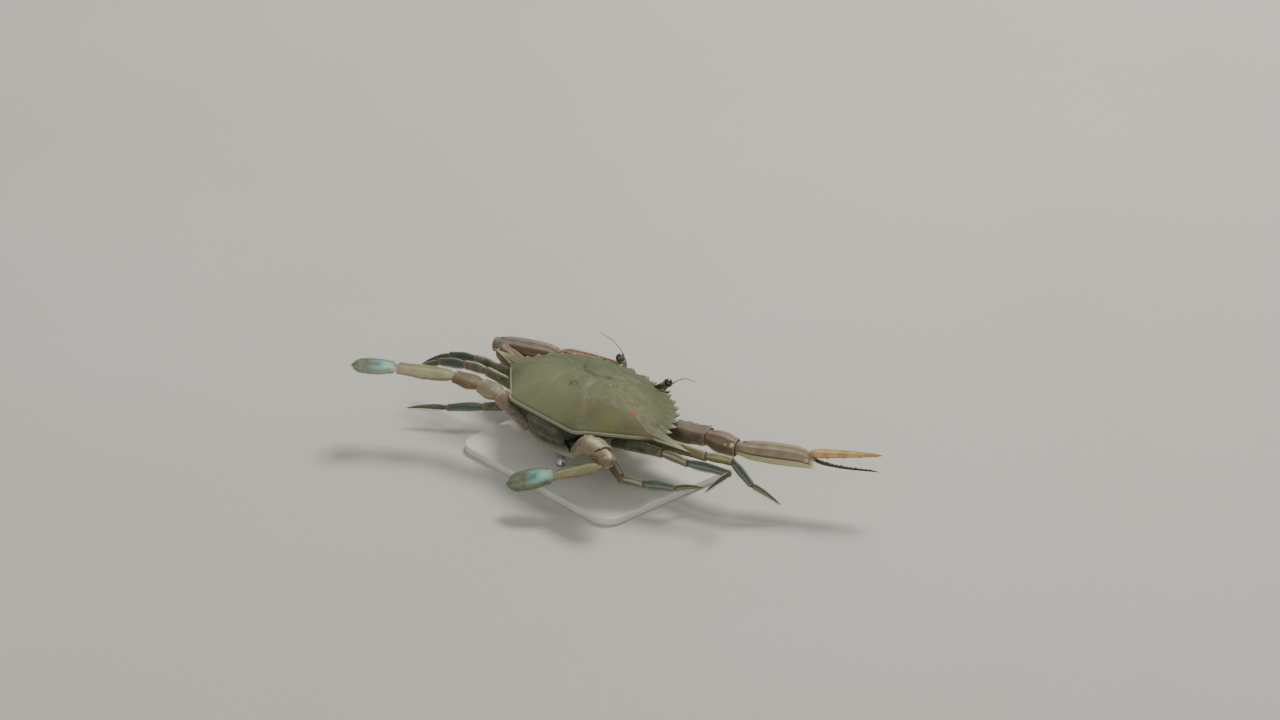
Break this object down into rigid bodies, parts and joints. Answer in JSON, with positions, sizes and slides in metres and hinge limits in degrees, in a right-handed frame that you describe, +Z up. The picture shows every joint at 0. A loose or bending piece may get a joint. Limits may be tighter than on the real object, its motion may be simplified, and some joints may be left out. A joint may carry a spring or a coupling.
{
  "type": "blue swimming crab",
  "caption": "Life-size blue swimming crab in a sideways swimming pose, one claw trailing, held by two short rods on a flat display base.",
  "frame": {"origin": "middle of the stand base's underside, on the surface the stand rests on", "axes": "+Z up, +Y the way the crab faces, +X its right side, towards which its trailing claw reaches"},
  "size_m": [0.2498, 0.1394, 0.0485],
  "materials": {
    "olive_shell": "satin, finely grained",
    "pale_underside": "satin",
    "claw_shell": "satin",
    "leg_shell": "satin",
    "eye": "glossy",
    "stand_plate": "matt paint",
    "stand_rod": "brushed"
  },
  "bodies": {
    "root": {"abdomen": "pale_underside", "antenna_left": "leg_shell", "antenna_right": "leg_shell", "carapace": "olive_shell", "claw_left_base": "claw_shell", "claw_left_carpus": "claw_shell", "claw_left_dactyl": "claw_shell", "claw_left_merus": "claw_shell", "claw_left_palm": "claw_shell", "claw_right_base": "claw_shell", "claw_right_carpus": "claw_shell", "claw_right_dactyl": "claw_shell", "claw_right_merus": "claw_shell", "claw_right_palm": "claw_shell", "eye_left": "eye", "eye_right": "eye", "eyestalk_left": "olive_shell", "eyestalk_right": "olive_shell", "maxilliped_left": "pale_underside", "maxilliped_right": "pale_underside", "stand_base": "stand_plate", "stand_rod_front": "stand_rod", "stand_rod_rear": "stand_rod", "swimming_leg_left_base": "leg_shell", "swimming_leg_left_carpus": "leg_shell", "swimming_leg_left_merus": "leg_shell", "swimming_leg_left_paddle": "leg_shell", "swimming_leg_left_propodus": "leg_shell", "swimming_leg_right_base": "leg_shell", "swimming_leg_right_carpus": "leg_shell", "swimming_leg_right_merus": "leg_shell", "swimming_leg_right_paddle": "leg_shell", "swimming_leg_right_propodus": "leg_shell", "thorax": "pale_underside", "walking_leg_1_left_carpus": "leg_shell", "walking_leg_1_left_dactyl": "leg_shell", "walking_leg_1_left_merus": "leg_shell", "walking_leg_1_left_propodus": "leg_shell", "walking_leg_1_right_carpus": "leg_shell", "walking_leg_1_right_dactyl": "leg_shell", "walking_leg_1_right_merus": "leg_shell", "walking_leg_1_right_propodus": "leg_shell", "walking_leg_2_left_carpus": "leg_shell", "walking_leg_2_left_dactyl": "leg_shell", "walking_leg_2_left_merus": "leg_shell", "walking_leg_2_left_propodus": "leg_shell", "walking_leg_2_right_carpus": "leg_shell", "walking_leg_2_right_dactyl": "leg_shell", "walking_leg_2_right_merus": "leg_shell", "walking_leg_2_right_propodus": "leg_shell", "walking_leg_3_left_carpus": "leg_shell", "walking_leg_3_left_dactyl": "leg_shell", "walking_leg_3_left_merus": "leg_shell", "walking_leg_3_left_propodus": "leg_shell", "walking_leg_3_right_carpus": "leg_shell", "walking_leg_3_right_dactyl": "leg_shell", "walking_leg_3_right_merus": "leg_shell", "walking_leg_3_right_propodus": "leg_shell"}
  },
  "joints": []
}
